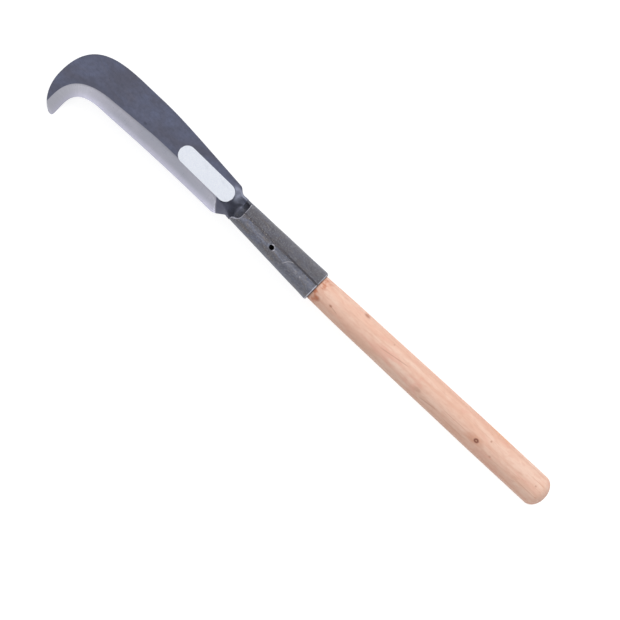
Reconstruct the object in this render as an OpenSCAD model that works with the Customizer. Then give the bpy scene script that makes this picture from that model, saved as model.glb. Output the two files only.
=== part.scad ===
// Hand sickle of the billhook kind: a hooked steel blade with a rolled socket,
// driven onto a plain turned wooden handle.
//
// The origin is the middle of the straight grip, on the handle's axis.
// +X runs along the handle towards the blade, +Y is the cutting side, and
// +Z is the side that carries the bevel, the socket's seam and the label.
// Lengths along the tool are stations: millimetres from the butt of the handle.

/* [Handle] */
// Length of the handle that shows, from the butt to the socket's mouth
handle_len = 279; // [210:1:400]
// Radius of the straight grip near the butt
grip_r = 15.35; // [14.5:0.05:18]
// Length of the straight grip
grip_len = 80; // [40:1:100]
// Depth of the rounded butt, measured along the handle
butt_len = 11; // [5:0.5:20]
// Radius where the handle starts its last taper towards the socket
waist_r = 14.1; // [13.5:0.05:14.5]
// Length of that last taper
waist_len = 45; // [20:1:60]
// Length of the tenon inside the socket
tenon_len = 75; // [68:1:90]
// Depth of the chamfer around the tenon's nose
tenon_nose = 2; // [0.5:0.5:4]

/* [Socket] */
// Length of the rolled socket
socket_len = 99; // [92:1:130]
// Outer radius at the socket's mouth
mouth_r = 15.7; // [15.2:0.05:19]
// Outer radius at the front end, where the socket opens into the neck
front_r = 12.3; // [11.5:0.05:15]
// Thickness of the rolled sheet
socket_wall = 2.3; // [1.6:0.05:2.8]
// Lean of the socket towards the spine, in the plane of the blade
socket_lean = 2; // [0:0.1:4]
// How far the upper half is cut back at the front
rim_back = 8; // [0:0.5:12]
// Width of the butted seam along the upper side
seam_w = 1; // [0.4:0.1:1.6]
// Turn of the seam away from the top, towards the spine
seam_turn = 5; // [0:1:12]
// Gap between the wood and the socket at the mouth
mouth_gap = 0.5; // [0.2:0.05:0.8]
// Gap between the wood and the socket at the tenon's nose
nose_gap = 0.1; // [0.05:0.01:0.3]

/* [Nail hole] */
// Radius of the hole, the same in the steel and in the wood
nail_r = 2.4; // [1.5:0.05:2.8]
// Distance of the hole from the socket's mouth
nail_at = 53.5; // [30:0.5:60]
// Turn of the hole away from the top, towards the cutting side
nail_turn = 16; // [16:1:30]
// Width and depth of the chamfer around the hole
nail_sink = 0.6; // [0.2:0.1:0.8]
// Depth of the hole in the wood
nail_depth = 10; // [4:0.5:10]

/* [Blade] */
// Thickness of the blade
plate_t = 2.4; // [1.6:0.1:3]
// Length of the neck between the socket and the shoulders
neck_len = 13; // [10:0.5:20]
// Length of the blade from the shoulders to the front of the nose
blade_len = 189; // [155:1:240]
// Reach of the spine at its crest, from the handle's axis
spine_off = 29.3; // [26:0.1:40]
// Reach of the spine at the shoulder
shoulder_off = 20.6; // [18:0.1:25]
// Reach of the straight part of the edge from the handle's axis
edge_off = 14.9; // [13:0.1:18]
// Length of the nose's curve, from the crest of the spine to the front
nose_run = 81; // [60:1:90]
// Drop of the hook's tip below the edge
hook_drop = 33.8; // [20:0.1:45]
// Setback of the tip behind the front of the nose
tip_back = 19.6; // [16:0.1:26]
// Width of the hook, from its front to the edge inside it
hook_w = 21.3; // [19:0.1:30]
// Length of the edge's curve inside the hook
throat_run = 56; // [40:1:70]

/* [Bevel] */
// Width of the ground bevel along the straight edge
bevel_w = 15; // [10:0.5:18]
// Width of the ground bevel in the hook
hook_bevel_w = 11.4; // [8:0.2:13]
// Thickness left at the very edge
edge_land = 0.2; // [0.1:0.05:0.5]
// Thickness of the hard steel laid on the back of the edge
steel_t = 0.9; // [0.5:0.1:1.2]

/* [Label] */
// Length of the label
label_len = 65; // [30:1:75]
// Width of the label
label_w = 17; // [8:0.5:20]
// Thickness of the label
label_t = 0.2; // [0.1:0.05:0.4]
// Distance of the label's middle ahead of the shoulders
label_at = 30; // [20:1:60]
// Shift of the label's middle towards the spine
label_off = 7.3; // [3:0.1:10]
// Turn of the label in the plane of the blade
label_turn = 1.4; // [-5:0.1:5]

/* [Hidden] */
$fn = 64;

// Stations of the main features
grip_mid = butt_len + grip_len / 2;
grip_end = butt_len + grip_len;
waist_x = handle_len - waist_len;
mouth_x = handle_len;
front_x = mouth_x + socket_len;
shoulder_x = front_x + neck_len;
nose_x = shoulder_x + blade_len;

// Sideways places of the neck and the tip, positive on the cutting side
lean_y = -socket_len * tan(socket_lean);
tip_y = edge_off + hook_drop;
half_t = plate_t / 2;

// Socket radii along its own axis, with u measured from the mouth
taper = (mouth_r - front_r) / socket_len;
function outer_r(u) = mouth_r - u * taper;
function bore_r(u) = outer_r(u) - socket_wall;
wood_r = bore_r(0) - mouth_gap;

// Depth to which the handle's full body reaches past the mouth, and the tenon's root,
// which starts inside that body and is a little thinner
body_in = 3;
root_back = 4;
root_step = 0.25;

// Radius of the tenon, which narrows less than the socket and so binds at its nose
root_r = wood_r - root_step;
nose_r = bore_r(tenon_len) - nose_gap;
function tenon_r(u) =
    root_r + (nose_r - root_r) * (u + root_back) / (tenon_len + root_back);

// The trough that carries the neck down into the socket's far wall
trough_back = 5;
trough_len = 40;
trough_pitch = 14;
trough_inset = 0.35;
trough_step = 0.7;
trough_end_r = 4.2;
clip_depth = 0.3;

// Overshoot of cutting tools past the faces that they cut
over = 5;
big = 60;

// ---- Curves -------------------------------------------------------------------

// Point at t of the cubic curve with ends p[0] and p[3] and handles p[1] and p[2]
function bezier(p, t) =
    pow(1 - t, 3) * p[0] + 3 * t * pow(1 - t, 2) * p[1]
    + 3 * t * t * (1 - t) * p[2] + pow(t, 3) * p[3];

// n points along that curve, leaving out its first point
function curve(p, n) = [for (i = [1:n]) bezier(p, i / n)];

// A point given by its distance ahead of the shoulders, or back from the nose
function ahead(d, y) = [shoulder_x + d, y];
function back(d, y) = [nose_x - d, y];

// Neck: its edges meet the socket's front end inside the outer surface
neck_in = 6;
neck_inset = 0.3;
neck_half = sqrt(pow(front_r, 2) - pow(half_t, 2)) - neck_inset;
neck_spine = lean_y - neck_half;
neck_edge = lean_y + neck_half;
neck_flat = 4;

spine_root = ahead(0, -shoulder_off);
crest = back(nose_run, -spine_off);
front = back(0, edge_off + 2);
tip = back(tip_back, tip_y);
tip_in = back(hook_w, tip_y - 4);
throat = back(throat_run, edge_off);
heel = ahead(6, edge_off);
heel_low = ahead(-3, edge_off - 3.6);

// Spine side, from the neck round the nose to the tip
spine_line = concat(
    [[front_x - neck_in, neck_spine], [front_x + neck_flat, neck_spine]],
    curve([[front_x + neck_flat, neck_spine], [front_x + neck_flat + 4, neck_spine],
           ahead(-3.5, -shoulder_off + 1), spine_root], 6),
    curve([spine_root, spine_root + [60, -6], crest - [28, 0], crest], 8),
    curve([crest, crest + [37.3, 0], front - [0, 52.3], front], 16),
    curve([front, front + [0, 2], tip + [19.2, -7.2], tip], 8));

// Cutting side, from the tip back to the neck
edge_stations = concat(
    [tip_in + [-0.5, 12], tip_in],
    curve([tip_in, tip_in - [0.3, 14.8], throat + [37.3, -1.5], throat], 14),
    curve([throat, throat - [44, 1], heel + [44, -1.3], heel], 8),
    curve([heel, heel - [4, 0], heel_low + [3, 2.2], heel_low], 4));
inner_line = [for (i = [1:len(edge_stations) - 1]) edge_stations[i]];
neck_line = concat(
    curve([heel_low, heel_low - [3.5, 2], [front_x + neck_flat + 3, neck_edge],
           [front_x + neck_flat, neck_edge]], 5),
    [[front_x - neck_in, neck_edge]]);

// Upper border of the bevel, one point for each point of edge_stations
grind_tip = tip_in + [hook_bevel_w + 1, 10];
grind_hook = tip_in + [hook_bevel_w, -12];
grind_throat = throat + [0, 2 - bevel_w];
grind_heel = heel + [2, 2.8 - bevel_w];
grind_end = heel_low + [0.2, -1.4];
grind_stations = concat(
    [grind_tip, grind_hook],
    curve([grind_hook, grind_hook - [1.5, 20], grind_throat + [33, 1.1], grind_throat], 14),
    curve([grind_throat, grind_throat - [34, 2.5], grind_heel + [42, -4.2], grind_heel], 8),
    curve([grind_heel, grind_heel - [5, -1], grind_end + [1, -4], grind_end], 4));

// Depth of the grind at each station: full along the edge, running out at the heel
runout = 4;
full_depth = plate_t - edge_land;
last = len(edge_stations) - 1;
function grind_depth(i) = full_depth * (1 - 0.85 * max(0, i - last + runout) / runout);

// ---- Shared shapes --------------------------------------------------------------

// Moves a shape drawn in stations to the origin at the grip
module place() {
    translate([-grip_mid, 0, 0])
        children();
}

// Frame of the socket: the middle of its mouth, with X along its leaning axis
module socket_frame() {
    translate([mouth_x, 0, 0])
        rotate([0, 0, -socket_lean])
            children();
}

// Cone along +X from station x0, with radius r0 there and r1 after length l
module cone_x(x0, l, r0, r1) {
    translate([x0, 0, 0])
        rotate([0, 90, 0])
            cylinder(h = l, r1 = r0, r2 = r1);
}

// Frame of the neck's trough, which climbs from the socket to the blade
module trough_frame() {
    translate([front_x - trough_back, lean_y, 0])
        rotate([0, -trough_pitch, 0])
            children();
}

// Everything ahead of the slanting front rim of the socket's upper half
module rim_cut() {
    translate([socket_len, -big / 2, half_t])
        rotate([0, -atan(rim_back / front_r), 0])
            cube([big, big, big]);
}

// Everything behind the plane where the neck runs into the socket
module behind_socket_front() {
    translate([socket_len - big, -big / 2, -big / 2])
        cube([big, big, big]);
}

// Slot along the top of the socket, where the rolled edges meet
module seam_slot(u0, u1, w) {
    rotate([seam_turn, 0, 0])
        translate([u0, -w / 2, front_r - socket_wall - over])
            cube([u1 - u0, w, mouth_r]);
}

// Nail hole: through the wall and into the wood, with a chamfer at the outside
module nail_hole() {
    translate([nail_at, 0, 0])
        rotate([-nail_turn, 0, 0]) {
            translate([0, 0, tenon_r(nail_at) - nail_depth])
                cylinder(h = nail_depth + socket_wall + over, r = nail_r);
            translate([0, 0, outer_r(nail_at) - nail_sink])
                cylinder(h = nail_sink * 2, r1 = nail_r, r2 = nail_r + nail_sink * 2);
        }
}

// Flat blank of the blade and its neck
module blank() {
    translate([0, 0, -half_t])
        linear_extrude(plate_t)
            polygon(concat(spine_line, inner_line, neck_line));
}

// Wedge that grinds the bevel: a strip that slopes from the grind line to the edge
module bevel_cut() {
    lift = 2;
    past_grind = 0.08;
    past_edge = 0.15;
    n = len(edge_stations);
    points = [for (i = [0:n - 1])
        let (e = edge_stations[i], g = grind_stations[i], d = grind_depth(i),
             inner = g - past_grind * (e - g), outer = e + past_edge * (e - g))
        each [[inner[0], inner[1], half_t + past_grind * d],
              [outer[0], outer[1], half_t - (1 + past_edge) * d],
              [outer[0], outer[1], half_t + lift]]];
    sides = [for (i = [0:n - 2], k = [0:2])
        let (a = 3 * i + k, b = 3 * i + (k + 1) % 3)
        each [[a, b, b + 3], [a, b + 3, a + 3]]];
    polyhedron(points, concat([[2, 1, 0], [3 * n - 3, 3 * n - 2, 3 * n - 1]], sides));
}

// Room for the hard steel behind the edge, from below the back up to its top face
module steel_band(below) {
    reach = 0.3;
    border = [for (i = [0:len(edge_stations) - 1])
        let (k = len(edge_stations) - 1 - i)
        edge_stations[k] + reach * (edge_stations[k] - grind_stations[k])];
    translate([0, 0, -half_t - below])
        linear_extrude(steel_t + below)
            polygon(concat(grind_stations, border));
}

// ---- Sub-parts ------------------------------------------------------------------

// Conical tube of the socket, before the seam and the nail hole
module socket_tube() {
    difference() {
        cone_x(0, socket_len, mouth_r, front_r);
        rim_cut();
    }
}

// Space inside the socket
module socket_bore() {
    cone_x(-over, socket_len + 2 * over, bore_r(-over), bore_r(socket_len + over));
}

// Underside of the trough, kept below the top face of the blade
module trough_shell() {
    intersection() {
        trough_frame()
            cone_x(0, trough_len, front_r - trough_inset, trough_end_r + socket_wall);
        translate([front_x - big, lean_y - big / 2, half_t - clip_depth - big])
            cube([3 * big, big, big]);
    }
}

// Dished space above the trough
module trough_space() {
    trough_frame()
        cone_x(0, trough_len, front_r - socket_wall + trough_step, trough_end_r);
}

// Blade and dished neck. The neck's sheet runs on into the socket on the real tool,
// and here it meets the socket's front end face to face.
module blade() {
    color([0.34, 0.35, 0.39])
        place()
            difference() {
                union() {
                    blank();
                    trough_shell();
                }
                bevel_cut();
                steel_band(1);
                trough_space();
                socket_frame()
                    behind_socket_front();
            }
}

// Socket rolled from the neck's sheet, with its open seam and its nail hole
module socket() {
    color([0.42, 0.42, 0.45])
        place()
            socket_frame()
                difference() {
                    socket_tube();
                    socket_bore();
                    seam_slot(-over, socket_len + over, seam_w);
                    nail_hole();
                }
}

// Hard steel laid on the back of the edge, which carries the cutting edge
module edge_steel() {
    color([0.74, 0.74, 0.77])
        place()
            difference() {
                intersection() {
                    blank();
                    steel_band(1);
                }
                bevel_cut();
            }
}

// Rough bead that closes the seam
module socket_weld() {
    inset = 0.4;
    stop = 1.5;
    proud = 0.25;
    color([0.24, 0.23, 0.24])
        place()
            socket_frame()
                difference() {
                    intersection() {
                        seam_slot(stop, socket_len - rim_back - stop, seam_w);
                        cone_x(0, socket_len, mouth_r + proud, front_r + proud);
                    }
                    cone_x(-over, socket_len + 2 * over, bore_r(-over) + inset,
                           bore_r(socket_len + over) + inset);
                }
}

// Outline of the handle's body: rounded butt, straight grip, taper, quicker taper
function handle_profile() =
    let (slope = (grip_r - waist_r) / (waist_x - grip_end),
         drop = waist_r - wood_r,
         steady = min(slope * waist_len, drop / 2))
    concat(
        [for (a = [0:6:90]) [grip_r * sin(a), butt_len * (1 - cos(a))]],
        [[grip_r, grip_end], [waist_r, waist_x]],
        [for (i = [1:6]) let (u = i / 6)
            [waist_r - steady * u - (drop - steady) * u * u, waist_x + u * waist_len]],
        [[wood_r, mouth_x + body_in], [0, mouth_x + body_in]]);

// Tenon with its chamfered nose, in the socket's frame
module tenon() {
    shank = tenon_len - tenon_nose;
    cone_x(-root_back, shank + root_back, root_r, tenon_r(shank));
    cone_x(shank, tenon_nose, tenon_r(shank), tenon_r(shank) - tenon_nose);
}

// Wooden handle with its tenon
module handle() {
    color([0.87, 0.72, 0.56])
        place()
            difference() {
                union() {
                    rotate([0, 90, 0])
                        rotate_extrude()
                            polygon(handle_profile());
                    socket_frame()
                        tenon();
                }
                socket_frame()
                    nail_hole();
            }
}

// Blank paper label with round ends
module label() {
    run = label_len - label_w;
    color([0.95, 0.96, 0.97])
        place()
            translate([shoulder_x + label_at, -label_off, half_t])
                rotate([0, 0, -label_turn])
                    linear_extrude(label_t)
                        union() {
                            square([run, label_w], center = true);
                            for (side = [-1, 1])
                                translate([side * run / 2, 0])
                                    circle(d = label_w);
                        }
}

blade();
edge_steel();
socket();
socket_weld();
handle();
label();
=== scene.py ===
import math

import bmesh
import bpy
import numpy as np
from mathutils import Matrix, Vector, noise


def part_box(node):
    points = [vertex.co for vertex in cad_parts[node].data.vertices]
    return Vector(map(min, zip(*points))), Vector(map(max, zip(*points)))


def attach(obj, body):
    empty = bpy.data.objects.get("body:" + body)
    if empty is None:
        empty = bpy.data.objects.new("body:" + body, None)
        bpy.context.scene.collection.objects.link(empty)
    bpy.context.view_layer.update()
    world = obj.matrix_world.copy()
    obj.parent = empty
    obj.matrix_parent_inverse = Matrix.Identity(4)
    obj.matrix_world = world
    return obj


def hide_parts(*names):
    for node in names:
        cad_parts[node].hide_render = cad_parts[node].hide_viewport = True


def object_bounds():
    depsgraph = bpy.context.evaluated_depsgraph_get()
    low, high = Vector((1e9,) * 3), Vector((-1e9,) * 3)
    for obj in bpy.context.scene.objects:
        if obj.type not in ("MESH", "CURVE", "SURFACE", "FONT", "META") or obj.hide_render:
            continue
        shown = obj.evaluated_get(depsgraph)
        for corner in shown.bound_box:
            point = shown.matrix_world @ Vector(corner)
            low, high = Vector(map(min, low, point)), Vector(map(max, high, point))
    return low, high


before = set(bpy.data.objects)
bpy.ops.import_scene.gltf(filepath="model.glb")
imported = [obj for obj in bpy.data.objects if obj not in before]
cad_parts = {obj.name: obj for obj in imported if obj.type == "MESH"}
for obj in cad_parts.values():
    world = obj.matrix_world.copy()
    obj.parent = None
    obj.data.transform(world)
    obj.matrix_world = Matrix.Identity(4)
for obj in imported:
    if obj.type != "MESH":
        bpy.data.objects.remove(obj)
cad_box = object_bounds()

# Looks of a hooked hand sickle: a forged blade with a ground bevel, hard steel laid
# on the back of its edge, a rolled socket with a welded seam and a nail hole, a
# turned wooden handle and a blank paper label.
#
# Lengths are millimetres in the part's frame until a mesh is made in metres. +X runs
# along the handle towards the blade, +Y is the cutting side and +Z carries the bevel.

MM = 0.001


def corners(node):
    """Lowest and highest corner of a CAD node, in millimetres."""
    return [np.array(corner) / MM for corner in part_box(node)]


blade_low, blade_high = corners("blade")
handle_low, handle_high = corners("handle")
label_low, label_high = corners("label")

# Stations along X, worked out from the frame's boxes
BLADE_LEN = 189
NECK_LEN = 13
SOCKET_LEN = 99
NOSE_X = blade_high[0]
SHOULDER_X = NOSE_X - BLADE_LEN
FRONT_X = SHOULDER_X - NECK_LEN
MOUTH_X = FRONT_X - SOCKET_LEN
BUTT_X = handle_low[0]
SPINE_Y = blade_low[1]
TIP_Y = blade_high[1]
HALF_T = blade_high[2]
GRIP_R = handle_high[2]

# Socket
LEAN = math.radians(2)
MOUTH_R = 15.7
FRONT_R = 12.3
WALL = 2.3
SEAM_TURN = math.radians(5)
SEAM_W = 1.0
SEAM_DEEP = 0.32
NAIL_R = 2.4
NAIL_AT = 53.5
NAIL_TURN = math.radians(16)
NAIL_DEPTH = 10

# Blade
EDGE_Y = 14.9
HOOK_DROP = 33.8
EDGE_LAND = 0.2
STEEL_T = 0.9
TROUGH_LEN = 24

# Handle
BUTT_LEN = 11
GRIP_LEN = 80
WAIST_R = 14.1
WAIST_LEN = 45
WOOD_R = 12.9
TENON_LEN = 75
TENON_R = (12.5, 10.72)


# ---- Curves and grids ----


def curve(p0, p1, p2, p3, count=24):
    """Points along a cubic Bezier curve, both ends included."""
    t = np.linspace(0, 1, count + 1)[:, None]
    p0, p1, p2, p3 = (np.array(p, float) for p in (p0, p1, p2, p3))
    return (1 - t) ** 3 * p0 + 3 * t * (1 - t) ** 2 * p1 + 3 * t**2 * (1 - t) * p2 + t**3 * p3


def joined(*lines):
    """One polyline from several that follow each other."""
    return np.vstack([lines[0]] + [line[1:] for line in lines[1:]])


def lengths(line):
    """Distance along a polyline at each of its points."""
    steps = np.linalg.norm(np.diff(line, axis=0), axis=1)
    return np.concatenate([[0], np.cumsum(steps)])


def spread(line, count):
    """A polyline as count equal steps."""
    along = lengths(line)
    at = np.linspace(0, along[-1], count + 1)
    return np.stack([np.interp(at, along, line[:, k]) for k in range(line.shape[1])], axis=1)


def ease(t):
    """Smooth step from 0 to 1."""
    t = np.clip(t, 0, 1)
    return t * t * (3 - 2 * t)


def ripple(points, scale, shift=0.0):
    """Smooth noise from -1 to 1 at each point, with bumps about as long as scale."""
    flat = points.reshape(-1, 3) / np.array(scale, float)
    moved = Vector((shift, 2.3 * shift, -1.7 * shift))
    values = [noise.noise(Vector(p) + moved) for p in flat]
    return np.array(values).reshape(points.shape[:-1])


def unit(vectors):
    """Vectors of the same directions, each of length 1."""
    return vectors / np.linalg.norm(vectors, axis=-1, keepdims=True)


# ---- Meshes ----


def piece_from(name, verts, faces, sharp=35):
    """A Blender object from millimetre points, smooth but for its sharp edges."""
    mesh = bpy.data.meshes.new(name)
    mesh.from_pydata((np.asarray(verts) * MM).tolist(), [], faces)
    tidy = bmesh.new()
    tidy.from_mesh(mesh)
    bmesh.ops.recalc_face_normals(tidy, faces=tidy.faces)
    tidy.to_mesh(mesh)
    tidy.free()
    mesh.shade_smooth()
    mesh.set_sharp_from_angle(angle=math.radians(sharp))
    made = bpy.data.objects.new(name, mesh)
    bpy.context.scene.collection.objects.link(made)
    return made


def border_of(rows, cols):
    """Grid places round the border of a grid, in order."""
    down = [(i, 0) for i in range(rows)]
    across = [(rows - 1, j) for j in range(1, cols)]
    up = [(i, cols - 1) for i in range(rows - 2, -1, -1)]
    home = [(0, j) for j in range(cols - 2, 0, -1)]
    return down + across + up + home


def shell(name, outer, inner, sharp=35):
    """Closed mesh between two grids of one shape, with a wall along the border."""
    rows, cols = outer.shape[:2]
    top = np.arange(rows * cols).reshape(rows, cols)
    low = top + rows * cols
    faces = []
    for i in range(rows - 1):
        for j in range(cols - 1):
            faces.append((top[i, j], top[i + 1, j], top[i + 1, j + 1], top[i, j + 1]))
            faces.append((low[i, j], low[i, j + 1], low[i + 1, j + 1], low[i + 1, j]))
    walk = border_of(rows, cols)
    for a, b in zip(walk, walk[1:] + walk[:1]):
        faces.append((top[a], top[b], low[b], low[a]))
    verts = np.vstack([outer.reshape(-1, 3), inner.reshape(-1, 3)])
    faces = [tuple(int(k) for k in f) for f in faces]
    return piece_from(name, verts, faces, sharp)


def tube(name, rings, sharp=35):
    """Closed mesh through a list of rings, with a point at each end."""
    count, around = rings.shape[:2]
    faces = []
    for i in range(count - 1):
        for j in range(around):
            k = (j + 1) % around
            faces.append((i * around + j, i * around + k,
                          (i + 1) * around + k, (i + 1) * around + j))
    first = count * around
    for j in range(around):
        k = (j + 1) % around
        faces.append((first, k, j))
        faces.append((first + 1, (count - 1) * around + j, (count - 1) * around + k))
    ends = np.stack([rings[0].mean(axis=0), rings[-1].mean(axis=0)])
    return piece_from(name, np.vstack([rings.reshape(-1, 3), ends]), faces, sharp)


def points_of(piece):
    """A piece's vertices in millimetres."""
    flat = np.zeros(len(piece.data.vertices) * 3)
    piece.data.vertices.foreach_get("co", flat)
    return flat.reshape(-1, 3) / MM


def mark(piece, name, values):
    """Stores a number at each vertex, for the piece's material to read."""
    layer = piece.data.attributes.new(name, "FLOAT", "POINT")
    layer.data.foreach_set("value", np.asarray(values, np.float32))


def round_over(distance, radius, left=0.3):
    """Share of the thickness that is left this far inside a rounded border."""
    t = 1 - np.clip(distance / radius, 0, 1)
    return left + (1 - left) * np.sqrt(1 - t * t)


# ---- Outline of the blade ----


def ahead(d, y):
    """Place this far past the shoulders, and sideways."""
    return np.array([SHOULDER_X + d, y])


def back(d, y):
    """Place this far behind the nose, and sideways."""
    return np.array([NOSE_X - d, y])


LEAN_Y = -SOCKET_LEN * math.tan(LEAN)
NECK_HALF = 11.94
CREST_BULGE = 0.22
spine_root = ahead(0, -20.6)
crest = back(81, SPINE_Y + CREST_BULGE)
front = back(0, EDGE_Y + 2)
tip = back(19.6, EDGE_Y + HOOK_DROP)
tip_in = back(21.3, TIP_Y - 4)
throat = back(56, EDGE_Y)
heel = ahead(6, EDGE_Y)
heel_low = ahead(-3, EDGE_Y - 3.6)
apex_spine = tip + [0.1, -0.02]
apex_edge = tip + [-0.7, -0.25]


def front_point(side):
    """End of the neck's border on the plane of the socket's front end."""
    y = LEAN_Y + side * NECK_HALF
    return np.array([MOUTH_X + (SOCKET_LEN + y * math.sin(LEAN)) / math.cos(LEAN), y])


def neck_rails():
    """Spine side and cutting side of the neck, from the socket to the shoulders."""
    start = front_point(-1)
    flat = np.array([FRONT_X + 4, start[1]])
    spine = joined(curve(start, start + [1, 0], flat - [1, 0], flat, 4),
                   curve(flat, flat + [4.5, 0], spine_root + [-4.2, 0.45], spine_root))
    start = front_point(1)
    flat = np.array([FRONT_X + 4, start[1]])
    edge = joined(curve(start, start + [1, 0], flat - [1, 0], flat, 4),
                  curve(flat, flat + [3, 0], heel_low - [3.5, 2], heel_low))
    return spine, edge


def body_rails():
    """Spine and edge from the shoulders to the crest and the throat."""
    spine = curve(spine_root, spine_root + [60, -6], crest - [28, 0], crest, 48)
    edge = joined(curve(heel_low, heel_low + [3, 2.2], heel - [4, 0], heel, 12),
                  curve(heel, heel + [44, -1.3], throat - [44, 1], throat, 48))
    return spine, edge


def hook_rails():
    """Nose and inner edge of the hook, which meet in the rounded tip."""
    turn_out = tip + [3.6, -0.5]
    turn_in = tip_in - [0.02, 0.4]
    spine = joined(curve(crest, crest + [37.3, 0], front - [0.04, 52.3], front - [0.04, 0], 60),
                   curve(front - [0.04, 0], front + [-0.04, 2], turn_out + [16, -9.7], turn_out, 48),
                   curve(turn_out, turn_out + [-0.8, 0.4], apex_spine + [1.2, 0], apex_spine, 8))
    edge = joined(curve(throat, throat + [37.3, -1.5], turn_in - [0.3, 14.6], turn_in, 60),
                  curve(turn_in, turn_in + [0.1, 1.8], apex_edge - [0.9, 0.6], apex_edge, 8))
    return spine, edge


SECTIONS = [(neck_rails(), 26), (body_rails(), 120), (hook_rails(), 130)]
spine_rail = joined(*[spread(rails[0], count) for rails, count in SECTIONS])
edge_rail = joined(*[spread(rails[1], count) for rails, count in SECTIONS])
cutting_edge = joined(body_rails()[1], hook_rails()[1])
cutting_length = lengths(cutting_edge)


def edge_place(points):
    """Distance from the cutting edge, and the place along it, for points in plan."""
    starts = cutting_edge[:-1]
    steps = np.diff(cutting_edge, axis=0)
    squares = (steps**2).sum(axis=1)
    flat = points.reshape(-1, 2)
    best = np.full(len(flat), np.inf)
    along = np.zeros(len(flat))
    for start, step, square, base in zip(starts, steps, squares, cutting_length):
        share = np.clip(((flat - start) @ step) / square, 0, 1)
        gap = np.linalg.norm(flat - start - share[:, None] * step, axis=1)
        nearer = gap < best
        best = np.where(nearer, gap, best)
        along = np.where(nearer, base + share * math.sqrt(square), along)
    return best.reshape(points.shape[:-1]), along.reshape(points.shape[:-1])


# Width of the bevel at places along the edge, from the heel to the tip
BEVEL_AT = [0, 12, 40, 90, 136, 160, 200]
BEVEL_W = [12.0, 12.6, 14.2, 14.6, 13.0, 11.6, 12.2]
RUN_OUT = 2.4
heel_corner = ahead(7.5, EDGE_Y - 12.3)
heel_square = unit(np.array([8.3, 7.2]))


def bevel_width(along):
    """Width of the bevel at places along the edge, with its corners smoothed."""
    fine = np.linspace(0, BEVEL_AT[-1], 401)
    width = np.interp(fine, BEVEL_AT, BEVEL_W)
    window = np.ones(21) / 21
    smooth = np.convolve(np.pad(width, 10, mode="edge"), window, mode="valid")
    return np.interp(along, fine, smooth)


def past_heel(points):
    """0 behind the slanted line where the grinding starts, 1 on the full bevel."""
    return ease(((points - heel_corner) @ heel_square) / RUN_OUT)


def bevel_share(points):
    """Depth of the grind: 0 on the flat, 1 at the sharp edge, less where it runs out."""
    gap, along = edge_place(points)
    return np.clip(1 - gap / bevel_width(along), 0, 1) * past_heel(points)


# ---- Shape of the sheet ----


def socket_place(points):
    """Distance past the socket's front end and sideways from its axis, in plan."""
    x = points[..., 0] - MOUTH_X
    y = points[..., 1]
    past = x * math.cos(LEAN) - y * math.sin(LEAN) - SOCKET_LEN
    side = x * math.sin(LEAN) + y * math.cos(LEAN)
    return past, side


def dish(points):
    """Height of the sheet's middle: 0 on the blade, and down into the neck's trough."""
    past, side = socket_place(points)
    share = np.clip(past / TROUGH_LEN, 0, 1)
    middle_r = FRONT_R - WALL / 2
    depth = middle_r * (1 - ease(share))
    half = middle_r + np.where(side < 0, 6, -2) * share
    power = 0.5 + 0.8 * ease(past / 9)
    total = np.zeros(points.shape[:-1])
    shifts = [-1.1, -0.55, 0, 0.55, 1.1]
    for shift in shifts:
        inside = np.clip(1 - ((side + shift) / half) ** 2, 0, 1)
        total = total + inside**power
    return np.where(past > -1, -depth * total / len(shifts), 0)


def dish_normal(points):
    """Direction square to the sheet's middle."""
    step = 0.05
    dx = (dish(points + [step, 0]) - dish(points - [step, 0])) / (2 * step)
    dy = (dish(points + [0, step]) - dish(points - [0, step])) / (2 * step)
    return unit(np.stack([-dx, -dy, np.ones_like(dx)], axis=-1))


ROUND_STEPS = [0, 0.1, 0.3, 0.6, 1.0]
FLAT_ROWS = 30
SLOPE_ROWS = 10
STEEL_ROWS = 8
GRIND_SOFT = 0.18
THINNEST = 0.02
FULL_DEPTH = 2 * HALF_T - EDGE_LAND
STEEL_TOP = STEEL_T - HALF_T
LAMINATION = (HALF_T - STEEL_TOP) / FULL_DEPTH


def column_places(spine, edge, in_body):
    """Shares across a column, distances along it, its grind line and its lamination."""
    fine = np.linspace(0, 1, 401)[:, None]
    across = spine + fine * (edge - spine)
    along = lengths(np.column_stack([across, dish(across)]))
    shares = bevel_share(across)
    total = along[-1]
    if not in_body or shares.max() < 0.001:
        return fine[:, 0], along, total - 1.6, total
    hit = int(np.argmax(shares > 0))
    grind = along[hit]
    if hit == 0:  # the grind line lies off the spine, so the slope is carried back to it
        slope = (shares[20] - shares[0]) / (along[20] - along[0])
        grind = -shares[0] / slope
    cut = float(np.interp(LAMINATION, shares[hit:], along[hit:]))
    return fine[:, 0], along, float(grind), min(cut, total)


def column(spine, edge, in_body):
    """Rows of one column for the iron and for the laid steel, and its grind line."""
    fine, along, grind, cut = column_places(spine, edge, in_body)
    total = along[-1]
    inset = min(1, max(cut, 0.4) / 6)
    rim = [step * inset for step in ROUND_STEPS]
    soft = GRIND_SOFT * inset
    line = max(grind, rim[-1] + 3 * soft)
    cut = max(cut, line + 4 * soft)
    flat = np.linspace(rim[-1], line - soft, FLAT_ROWS)[1:]
    slope = np.linspace(line + soft, cut, SLOPE_ROWS)
    iron = np.concatenate([rim, flat, [line], slope])
    inner = min(max(grind, 0), total - 0.5)
    cut = min(max(cut, inner + 0.1), total - 0.2)
    step = min(0.06, (cut - inner) / 3, (total - cut) / 3)
    hidden = np.linspace(inner, cut - step, 6)
    ground = np.linspace(cut + step, total, STEEL_ROWS)
    steel = np.concatenate([hidden, [cut], ground])
    return np.interp(iron, along, fine), np.interp(steel, along, fine), iron - grind


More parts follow.
